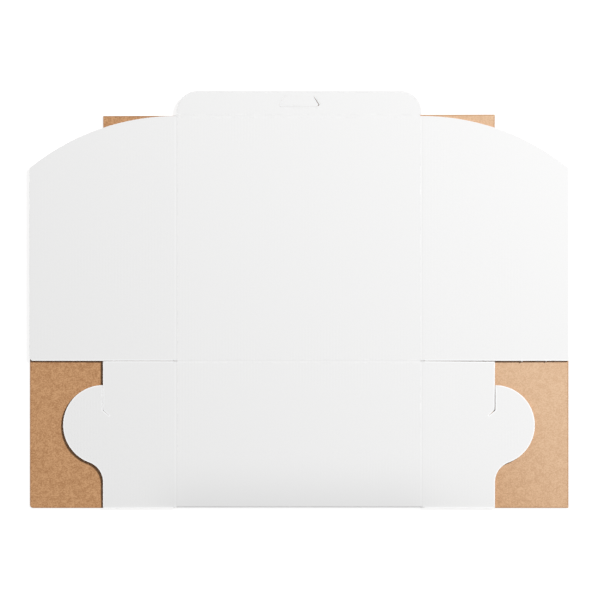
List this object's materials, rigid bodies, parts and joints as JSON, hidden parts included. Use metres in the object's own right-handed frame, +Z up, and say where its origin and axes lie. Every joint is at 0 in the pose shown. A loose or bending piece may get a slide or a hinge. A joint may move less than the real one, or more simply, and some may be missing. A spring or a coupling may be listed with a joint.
{
  "type": "cake box",
  "caption": "Cake box of fine corrugated board, white outside and kraft inside, knocked down flat: a die-cut sheet folded over, with a lid, side flaps, tuck flap and eared corner tabs.",
  "frame": {"origin": "middle of the flat box's footprint, on the surface that it lies on", "axes": "+Z up out of the upper leaf's white face, +Y from the fold to the tuck flap, +X along the fold, to the right when seen from above with the tuck flap away from the viewer"},
  "size_m": [0.562, 0.4347, 0.0048],
  "materials": {
    "board": "matt white liner outside, brown kraft liner inside, fluted cut edges"
  },
  "bodies": {
    "folded_base": {"folded_base_sheet": "board"},
    "lid": {"lid_panel": "board"},
    "left_flap": {"lid_side_flap_left": "board"},
    "right_flap": {"lid_side_flap_right": "board"},
    "tuck": {"tuck_flap": "board"},
    "tongue": {"lock_tongue": "board"},
    "left_tab": {"back_corner_tab_left": "board"},
    "right_tab": {"back_corner_tab_right": "board"}
  },
  "joints": [
    {"name": "lid_crease", "type": "hinge", "parent": "folded_base", "child": "lid", "pos_m": [0, -0.06445, 0.0043], "axis": [1, 0, 0], "range_deg": [0, 90]},
    {"name": "left_flap_crease", "type": "hinge", "parent": "lid", "child": "left_flap", "pos_m": [-0.128, 0.0633, 0.0043], "axis": [0, -1, 0], "range_deg": [-90, 0]},
    {"name": "right_flap_crease", "type": "hinge", "parent": "lid", "child": "right_flap", "pos_m": [0.128, 0.0633, 0.0043], "axis": [0, 1, 0], "range_deg": [-90, 0]},
    {"name": "tuck_crease", "type": "hinge", "parent": "lid", "child": "tuck", "pos_m": [0, 0.19105, 0.0043], "axis": [1, 0, 0], "range_deg": [0, 90]},
    {"name": "tongue_crease", "type": "hinge", "parent": "tuck", "child": "tongue", "pos_m": [0, 0.21195, 0.0048], "axis": [-1, 0, 0], "range_deg": [0, 60]},
    {"name": "left_tab_crease", "type": "hinge", "parent": "folded_base", "child": "left_tab", "pos_m": [-0.128, -0.14085, 0.0043], "axis": [0, -1, 0], "range_deg": [-90, 0]},
    {"name": "right_tab_crease", "type": "hinge", "parent": "folded_base", "child": "right_tab", "pos_m": [0.128, -0.14085, 0.0043], "axis": [0, 1, 0], "range_deg": [-90, 0]}
  ]
}
